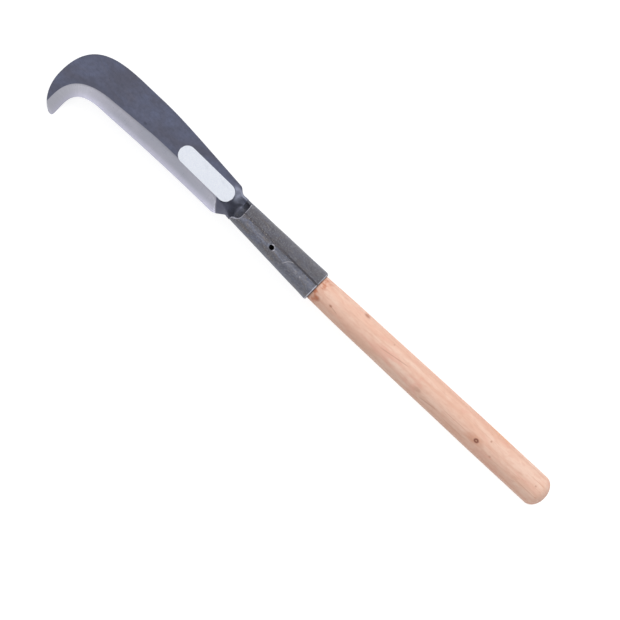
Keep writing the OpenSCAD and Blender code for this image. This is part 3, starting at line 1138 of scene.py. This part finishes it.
def knot_colour(s, tone):
    """The knot: a reddish halo, a dark ring and a paler heart."""
    top = wood_top(KNOT[1])
    halo = s.near((KNOT[0] + 3, KNOT[1], top), (8.5, 3.2, 5), 0.8)
    tone = s.mix(s.times(halo, 0.6), tone, colour(204, 136, 104))
    ring = s.near((*KNOT, top), (2.5, 2.0, 4), 0.35)
    tone = s.mix(s.times(ring, 0.95), tone, colour(126, 66, 46))
    heart = s.near((*KNOT, top), (0.9, 0.7, 4), 0.5)
    return s.mix(s.times(heart, 0.7), tone, colour(206, 158, 130))


def wood_material():
    """Pale hardwood, stained where it meets the socket, with painted shade darkening it at the mouth
    and inside the socket.
    """
    s = Surface("pale_hardwood")
    x, y, z = s.parts()
    drift = s.times(s.noise((70, 16, 16), 2.0), 9.0)
    rings = s.noise((3.4, 2.6, 5.2), 3.0, s.vector(s.times(x, 0.045), s.plus(y, drift), z))
    pores = s.patches((7.0, 0.34, 0.34), 0.62, 0.74, 0.4, detail=2.0)
    tone = knot_colour(s, wood_marks(s, grain_colour(s, rings, pores)))
    edge = s.between(x, MOUTH_X - 15, MOUTH_X - 1)
    patchy = s.patches((5, 3.5, 3.5), 0.42, 0.62, detail=4.0)
    stain = s.times(edge, s.plus(s.times(patchy, 0.75), 0.12))
    tone = s.mix(stain, tone, colour(196, 112, 74))
    # Painted shade: the wood is darkened at the mouth and inside the socket
    inside = s.between(x, MOUTH_X - 2.0, MOUTH_X + 2)
    tone = s.mix(inside, tone, colour(34, 24, 20))
    skin = s.bump(s.plus(s.times(rings, 0.5), s.times(pores, -1.2)), 0.07)
    return s.finish(tone, s.between(rings, 0.3, 0.7, 0.46, 0.6), 0.0, skin)


def paper_material():
    """Glossy white label paper with a faint cool cast and a little handling dirt."""
    s = Surface("label_paper")
    fibre = s.noise((1.1, 0.8, 0.8), 4.0)
    tone = s.mix(s.between(fibre, 0.3, 0.7), colour(240, 244, 252), colour(230, 235, 247))
    dirt = s.patches((13, 8, 8), 0.56, 0.74, 0.35, detail=4.0)
    tone = s.mix(dirt, tone, colour(206, 210, 220))
    skin = s.bump(s.noise((6, 4, 4), 3.0), 0.05)
    return s.finish(tone, s.between(fibre, 0.3, 0.7, 0.34, 0.46), 0.0, skin)


# ---- Stage ----

# The camera's view in millimetres
VIEW_CENTRE = (218.5, 19.4)
VIEW_WIDTH = 557.5
VIEW_TURN = math.radians(222.81)
LENS = 110
SENSOR = 36
# Strength of the surroundings as light and as seen in shiny pieces
WORLD_LIGHT = 0.4
WORLD_SHINY = 0.85
# The floor in metres, its grey, and the white that it adds where it is seen
FLOOR_HALF = 6.0
FLOOR_GAP = 0.0002
FLOOR_GREY = (0.6, 0.6, 0.6, 1)
FLOOR_GLOW = 0.7


def make_camera():
    """Long lens straight above the bevelled side, turned as a catalogue picture has it."""
    data = bpy.data.cameras.new("camera")
    data.lens = LENS
    data.sensor_width = SENSOR
    data.clip_start = 0.05
    data.clip_end = 20
    camera = bpy.data.objects.new("camera", data)
    height = VIEW_WIDTH * LENS / SENSOR
    camera.location = Vector((*VIEW_CENTRE, height)) * MM
    camera.rotation_euler = (0, 0, VIEW_TURN)
    bpy.context.scene.collection.objects.link(camera)
    bpy.context.scene.camera = camera


def lamp(name, place, size, watts):
    """A soft rectangular lamp that faces the tool's middle, placed and sized in metres."""
    data = bpy.data.lights.new(name, "AREA")
    data.shape = "RECTANGLE"
    data.size, data.size_y = size
    data.energy = watts
    light = bpy.data.objects.new(name, data)
    target = Vector((*VIEW_CENTRE, 0)) * MM
    light.location = target + Vector(place)
    aim = target - light.location
    light.rotation_euler = aim.to_track_quat("-Z", "Y").to_euler()
    light.visible_camera = False
    bpy.context.scene.collection.objects.link(light)
    return light


def white_for_camera(tree, surface, share):
    """Adds plain white where a picture or a shiny piece sees this surface."""
    path = tree.nodes.new("ShaderNodeLightPath")
    seen = math_node(tree, "MAXIMUM", path.outputs["Is Camera Ray"], path.outputs["Is Glossy Ray"])
    glow = tree.nodes.new("ShaderNodeEmission")
    feed(tree, math_node(tree, "MULTIPLY", seen, share), glow.inputs["Strength"])
    both = tree.nodes.new("ShaderNodeAddShader")
    feed(tree, surface, both.inputs[0])
    feed(tree, glow.outputs[0], both.inputs[1])
    return both.outputs[0]


def floor_material():
    """Matt pale grey that looks white to the camera but keeps a shadow."""
    material = bpy.data.materials.new("floor_pale")
    material.use_nodes = True
    tree = material.node_tree
    tree.nodes.remove(tree.nodes["Principled BSDF"])
    matt = tree.nodes.new("ShaderNodeBsdfDiffuse")
    matt.inputs["Color"].default_value = FLOOR_GREY
    out = white_for_camera(tree, matt.outputs[0], FLOOR_GLOW)
    feed(tree, out, tree.nodes["Material Output"].inputs["Surface"])
    return material


def make_floor():
    """Plain pale floor just under the lowest point of the tool."""
    height = cad_box[0].z - FLOOR_GAP
    square = [(-1, -1), (1, -1), (1, 1), (-1, 1)]
    mesh = bpy.data.meshes.new("floor")
    mesh.from_pydata([(FLOOR_HALF * x, FLOOR_HALF * y, height) for x, y in square], [],
                     [(0, 1, 2, 3)])
    mesh.materials.append(floor_material())
    floor = bpy.data.objects.new("floor", mesh)
    bpy.context.scene.collection.objects.link(floor)


def make_world():
    """Even pale surroundings, white to the camera and nearly white to shiny pieces."""
    world = bpy.data.worlds.new("studio")
    world.use_nodes = True
    tree = world.node_tree
    plain = tree.nodes["Background"]
    plain.inputs["Color"].default_value = (1, 1, 1, 1)
    path = tree.nodes.new("ShaderNodeLightPath")
    shiny = math_node(tree, "MULTIPLY", path.outputs["Is Glossy Ray"], WORLD_SHINY)
    seen = math_node(tree, "MAXIMUM", path.outputs["Is Camera Ray"], shiny)
    feed(tree, math_node(tree, "MAXIMUM", seen, WORLD_LIGHT), plain.inputs["Strength"])
    bpy.context.scene.world = world


def make_stage():
    """Camera, surroundings, floor and three soft lamps."""
    make_camera()
    make_world()
    make_floor()
    key = lamp("key", (0.05, -1.2, 0.95), (1.2, 0.8), 14)
    key.visible_glossy = False
    lamp("strip", (0.0, 0.85, 1.5), (1.7, 0.3), 6)
    lamp("fill", (-1.3, 0.3, 1.6), (0.4, 1.2), 2)
    bpy.context.scene.view_settings.view_transform = "Standard"


# ---- Assembly ----


def place_piece(piece, material, slot, *nodes):
    """Gives a piece its material and its body, and hides the CAD nodes that it stands for; slot is
    not used.
    """
    piece.data.materials.clear()
    piece.data.materials.append(material)
    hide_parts(*nodes)
    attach(piece, "root")


make_stage()
blade, edge = make_blade_and_edge()
socket = make_socket()
weld = make_weld()
handle = make_handle()
label = make_label()

place_piece(blade, blade_material("blued_blade"), "blade_steel", "blade")
place_piece(edge, blade_material("laid_steel"), "ground_steel", "edge_steel")
place_piece(socket, socket_material(), "socket_steel", "socket")
place_piece(weld, weld_material(), "weld_scale", "socket_weld")
place_piece(handle, wood_material(), "handle_wood", "handle")
place_piece(label, paper_material(), "label_paper", "label")
